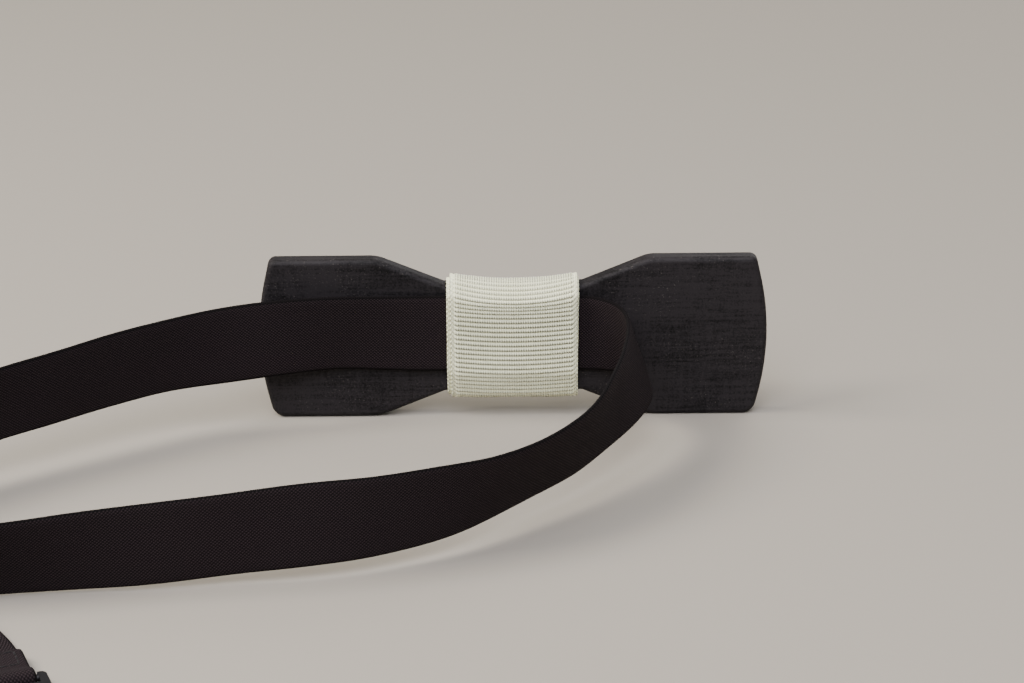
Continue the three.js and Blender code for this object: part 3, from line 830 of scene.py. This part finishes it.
def stitching(name, seat, ends, levels, options, material):
    """A box of stitches at each level, that sews a folded end down."""
    first, last = ends
    half = TAPE_WIDTH / 2 - STITCH_MARGIN
    corners = [(first, -half), (last, -half), (last, half), (first, half)]
    bm = bmesh.new()
    for w in levels:
        for start, end in zip(corners, corners[1:] + corners[:1]):
            stitch_row(bm, seat, start, end, w, options)
    bmesh.ops.recalc_face_normals(bm, faces=bm.faces)
    return finished(name, bm, material)


# ---- the metal fittings ----------------------------------------------------------------------


def softened_fitting(name, node, options, material):
    """The fitting's own solid with its facets merged and its sharp edges tumbled round."""
    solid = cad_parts[node]
    bm = bmesh.new()
    bm.from_mesh(solid.data)
    bmesh.ops.transform(bm, matrix=solid.matrix_world, verts=bm.verts)
    bmesh.ops.remove_doubles(bm, verts=bm.verts, dist=0.005 * MM)
    bmesh.ops.dissolve_limit(
        bm, angle_limit=math.radians(1.0), use_dissolve_boundaries=False,
        verts=bm.verts, edges=bm.edges,
    )
    made = finished(name, bm, material)
    bevel = made.modifiers.new("tumbled edges", "BEVEL")
    bevel.width = options.edge_softness
    bevel.segments = 3
    bevel.limit_method = "ANGLE"
    bevel.angle_limit = math.radians(40)
    bevel.harden_normals = False
    applied(made)
    made.data.shade_smooth()
    made.data.set_sharp_from_angle(angle=math.radians(38))
    return made


# ---- the stage -------------------------------------------------------------------------------


FLOOR_HALF_SIZE = 3.0
FLOOR_DROP = 0.02 * MM  # keeps the floor clear of the feet that stand on it
LIGHTS = (  # name, place, what it faces, side of its square, its power's setting, colour
    ("key_light", (-0.72, -0.12, 0.72), (-0.03, -0.04, 0), 0.5, "key_power", "#fff8ee"),
    ("fill_light", (-0.05, -0.6, 0.78), (-0.02, -0.03, 0), 0.8, "fill_power", "#f6f6ff"),
    ("back_light", (0.5, 0.85, 0.6), (-0.03, -0.03, 0), 0.9, "back_power", "#ffffff"),
)


def area_light(name, place, target, size, power, colour):
    """A square softbox, turned to face its target."""
    data = bpy.data.lights.new(name, "AREA")
    data.shape = "SQUARE"
    data.size = size
    data.energy = power
    data.color = linear(colour)[:3]
    made = bpy.data.objects.new(name, data)
    made.location = place
    made.rotation_euler = (Vector(target) - Vector(place)).to_track_quat("-Z", "Y").to_euler()
    bpy.context.scene.collection.objects.link(made)


CAMERA_TARGET = Vector((-0.25 * MM, BOW_MIDDLE_Y, -1.4 * MM))  # about the middle of the bow
CAMERA_DISTANCE = 517 * MM
CAMERA_HEIGHT_ANGLE = 21.0
CAMERA_SIDE_ANGLE = -0.2
CAMERA_ROLL = -0.4
LENS = 91.9
SENSOR = 36.0


def camera():
    """A long lens a little above the table, nearly square to the bow's rear."""
    data = bpy.data.cameras.new("camera")
    data.lens, data.sensor_width = LENS, SENSOR
    data.clip_start, data.clip_end = 0.01, 20.0
    up, side = math.radians(CAMERA_HEIGHT_ANGLE), math.radians(CAMERA_SIDE_ANGLE)
    back = Vector((math.sin(side) * math.cos(up), -math.cos(side) * math.cos(up), math.sin(up)))
    made = bpy.data.objects.new("camera", data)
    roll = Matrix.Rotation(math.radians(CAMERA_ROLL), 3, "Z")
    turn = (-back).to_track_quat("-Z", "Y").to_matrix() @ roll
    made.matrix_world = Matrix.LocRotScale(CAMERA_TARGET + back * CAMERA_DISTANCE, turn, None)
    bpy.context.scene.collection.objects.link(made)
    bpy.context.scene.camera = made


# ---- settings --------------------------------------------------------------------------------


def length_setting(name, description, default):
    return FloatProperty(
        name=name, description=description, default=default, unit="LENGTH", precision=5
    )


def power_setting(name, description, default):
    return FloatProperty(name=name, description=description, default=default, unit="POWER")


def colour_setting(name, description, default):
    """A colour as sRGB hex."""
    described = description + ", as sRGB hex"
    return StringProperty(name=name, description=described, default=default, maxlen=7)


class BowTieWoodSettings(bpy.types.PropertyGroup):
    edge_round: length_setting("Edge Round", "Radius of the round-over along every edge", 1.1 * MM)
    grain_spacing: length_setting("Grain Spacing", "Distance between the grain's streaks", 0.5 * MM)
    # the lighter edges are partly wear, partly a painted highlight on the rounded rim
    edge_wear_and_highlight: FloatProperty(
        name="Edge Wear", description="How far the stain is rubbed off the edges", default=0.15,
        min=0.0, max=1.0, subtype="FACTOR",
    )
    stain_dark: colour_setting("Dark Stain", "Colour of the darkest streaks", "#070607")
    stain_light: colour_setting("Light Stain", "Colour of the palest streaks", "#252224")
    fleck_colour: colour_setting("Flecks", "Colour of the pale flecks", "#423e3c")
    # the colour of the lighter edges: partly wear, partly a painted highlight
    wear_and_highlight_colour: colour_setting("Wear and Highlight", "Colour of the rubbed edges", "#332e2b")


class BowTieRibbonSettings(bpy.types.PropertyGroup):
    ribbon_thickness: length_setting("Thickness", "Thickness of the ribbon", 0.4 * MM)
    round_over: length_setting("Round-over", "Radius of the edges under the ribbon", 1.3 * MM)
    rib_pitch: length_setting("Rib Pitch", "Distance from rib to rib", 0.97 * MM)
    rib_height: length_setting("Rib Height", "Height of a rib over the valleys", 0.34 * MM)
    rib_bow: length_setting("Rib Bow", "How far the ribs sag at the ribbon's middle", 0.8 * MM)
    float_pitch: length_setting("Float Pitch", "Distance between the fine upright yarns", 0.48 * MM)
    selvedge_width: length_setting("Selvedge", "Width of the woven edge", 1.2 * MM)
    yarn_light: colour_setting("Light Yarn", "Colour of the ribs", "#fafbd9")
    yarn_shade: colour_setting("Shaded Yarn", "Colour of duller yarn", "#eeeec9")
    # the dark between the ribs: pin-holes and painted shade in the valleys
    hole_and_shade_colour: colour_setting("Pin-holes and Shade", "Colour between the ribs", "#38362a")


class BowTieTapeSettings(bpy.types.PropertyGroup):
    twill_pitch: length_setting("Twill Pitch", "Distance between the twill's yarns", 0.44 * MM)
    tape_dark: colour_setting("Dark Yarn", "Colour of the tape's hollows", "#0c090a")
    # the raised yarns' lighter colour is partly abrasion, partly a painted highlight
    tape_light: colour_setting("Light Yarn", "Colour of the raised yarns", "#2e2528")
    lint_dark: colour_setting("Dark Lint", "Tint of the fuzz in the hollows", "#5a5250")
    lint_light: colour_setting("Light Lint", "Tint of the fuzz on the raised yarns", "#a09896")


class BowTieFittingSettings(bpy.types.PropertyGroup):
    edge_softness: length_setting("Edge Softness", "Radius on the metal's sharp edges", 0.2 * MM)
    stitch_length: length_setting("Stitch Length", "Length of one stitch", 1.7 * MM)
    thread_thickness: length_setting("Thread", "Thickness of the sewing thread", 0.32 * MM)
    coating_colour: colour_setting("Coating", "Colour of the coating", "#131214")
    coating_light: colour_setting("Worn Coating", "Colour of the thinner coating", "#1f1d1f")
    thread_dark: colour_setting("Dark Ply", "Colour between the thread's plies", "#0c0b0c")
    thread_light: colour_setting("Light Ply", "Colour of the thread's plies", "#1d1a1b")


class BowTieStageSettings(bpy.types.PropertyGroup):
    floor_colour: colour_setting("Floor", "Colour of the floor", "#9e988e")
    key_power: power_setting("Key Light", "Power of the main light", 14.0)
    fill_power: power_setting("Fill Light", "Power of the fill light", 14.5)
    back_power: power_setting("Back Light", "Power of the back light", 6.0)
    sky_colour: colour_setting("Sky", "Colour of the light all round", "#e9e6e1")
    sky_strength: FloatProperty(
        name="Sky Strength", description="Strength of the light all round", default=0.3, min=0.0
    )


SETTINGS = {
    "bow_tie_wood": BowTieWoodSettings,
    "bow_tie_ribbon": BowTieRibbonSettings,
    "bow_tie_tape": BowTieTapeSettings,
    "bow_tie_fittings": BowTieFittingSettings,
    "bow_tie_stage": BowTieStageSettings,
}


# ---- operators -------------------------------------------------------------------------------


class BOWTIE_OT_stage(bpy.types.Operator):
    """Add the pale floor, the soft studio lights and the camera"""

    bl_idname = "bowtie.stage"
    bl_label = "Stage"

    def execute(self, context):
        options = context.scene.bow_tie_stage
        bm = bmesh.new()
        bmesh.ops.create_grid(bm, x_segments=1, y_segments=1, size=FLOOR_HALF_SIZE)
        bmesh.ops.translate(bm, verts=bm.verts, vec=(0, 0, TABLE_Z - FLOOR_DROP))
        finished("floor", bm, paper_sweep(options), smooth=False)
        for name, place, target, size, power, colour in LIGHTS:
            area_light(name, place, target, size, getattr(options, power), colour)
        world = bpy.data.worlds.new("soft_studio")
        context.scene.world = world
        world.use_nodes = True
        sky = world.node_tree.nodes["Background"]
        sky.inputs["Color"].default_value = linear(options.sky_colour)
        sky.inputs["Strength"].default_value = options.sky_strength
        camera()
        return {"FINISHED"}


class BOWTIE_OT_wood(bpy.types.Operator):
    """Add the black-stained wooden bow"""

    bl_idname = "bowtie.wood"
    bl_label = "Wooden Bow"

    def execute(self, context):
        bow = wooden_bow(context.scene.bow_tie_wood)
        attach(bow, "bow")
        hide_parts("bow_blank")
        return {"FINISHED"}


class BOWTIE_OT_knot(bpy.types.Operator):
    """Add the ribbon, wound twice round the waist as the knot"""

    bl_idname = "bowtie.knot"
    bl_label = "Ribbon Knot"

    def execute(self, context):
        knot, path = ribbon_knot(context.scene.bow_tie_ribbon)
        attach(knot, "bow")
        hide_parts("knot_ribbon")
        return {"FINISHED"}


class BOWTIE_OT_strap(bpy.types.Operator):
    """Add the neck strap, its returning run and the fold on the adjuster"""

    bl_idname = "bowtie.strap"
    bl_label = "Neck Strap"

    def execute(self, context):
        material = twill_tape(context.scene.bow_tie_tape)
        strap, path = neck_strap(material)
        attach(strap, "strap")
        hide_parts("neck_tape")
        run_path = returning_run()
        run = tape_strip("returning_run", run_path, TAPE_STEP, material)
        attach(run, "strap")
        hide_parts("tape_tail")
        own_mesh(run)
        fold_path = folded_end()
        fold = tape_strip("adjuster_fold_tape", fold_path, FOLD_STEP, material)
        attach(fold, "adjuster")
        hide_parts("adjuster_fold")
        return {"FINISHED"}


class BOWTIE_OT_fittings(bpy.types.Operator):
    """Add the slide adjuster, the hook and the eye"""

    bl_idname = "bowtie.fittings"
    bl_label = "Metal Fittings"

    def execute(self, context):
        options = context.scene.bow_tie_fittings
        material = coated_steel(options)
        for name, node, body in (
            ("slide_adjuster_bar", "slide_adjuster", "adjuster"),
            ("strap_hook", "hook", "hook_fitting"),
            ("strap_eye", "eye", "eye_fitting"),
        ):
            fitting = softened_fitting(name, node, options, material)
            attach(fitting, body)
            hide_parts(node)
        return {"FINISHED"}


class BOWTIE_OT_stitching(bpy.types.Operator):
    """Add the stitches that sew the strap's folded ends down"""

    bl_idname = "bowtie.stitching"
    bl_label = "Stitching"

    def execute(self, context):
        options = context.scene.bow_tie_fittings
        material = sewing_thread(options)
        surface = TAPE_THICKNESS / 2
        underside = 0.05 * MM - surface  # a little sunk, to stay clear of the floor
        eye = stitching(
            "eye_stitching", EYE_SEAT, EYE_STITCHES, (LAYER_PITCH + surface, underside),
            options, material,
        )
        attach(eye, "strap")
        adjuster = stitching(
            "adjuster_stitching", ADJUSTER_SEAT, ADJUSTER_STITCHES, (TAIL_HEIGHT + surface,),
            options, material,
        )
        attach(adjuster, "adjuster")
        return {"FINISHED"}


class BOWTIE_PT_panel(bpy.types.Panel):
    """Buttons and settings of the bow tie"""

    bl_idname = "BOWTIE_PT_panel"
    bl_label = "Bow Tie"
    bl_space_type = "VIEW_3D"
    bl_region_type = "UI"
    bl_category = "Bow Tie"

    def draw(self, context):
        for name, group in SETTINGS.items():
            box = self.layout.box()
            box.label(text=name.replace("_", " ").title())
            for setting in group.__annotations__:
                box.prop(getattr(context.scene, name), setting)
        for operator in OPERATORS:
            self.layout.operator(operator.bl_idname)


OPERATORS = (
    BOWTIE_OT_stage,
    BOWTIE_OT_wood,
    BOWTIE_OT_knot,
    BOWTIE_OT_strap,
    BOWTIE_OT_fittings,
    BOWTIE_OT_stitching,
)
CLASSES = tuple(SETTINGS.values()) + OPERATORS + (BOWTIE_PT_panel,)


def register():
    for made in CLASSES:
        bpy.utils.register_class(made)
    for name, group in SETTINGS.items():
        setattr(bpy.types.Scene, name, PointerProperty(type=group))


def unregister():
    for name in SETTINGS:
        delattr(bpy.types.Scene, name)
    for made in reversed(CLASSES):
        bpy.utils.unregister_class(made)


def main():
    """Builds the whole bow tie."""
    register()
    bpy.ops.bowtie.stage()
    bpy.ops.bowtie.wood()
    bpy.ops.bowtie.knot()
    bpy.ops.bowtie.strap()
    bpy.ops.bowtie.fittings()
    bpy.ops.bowtie.stitching()


if __name__ == "__main__":
    main()
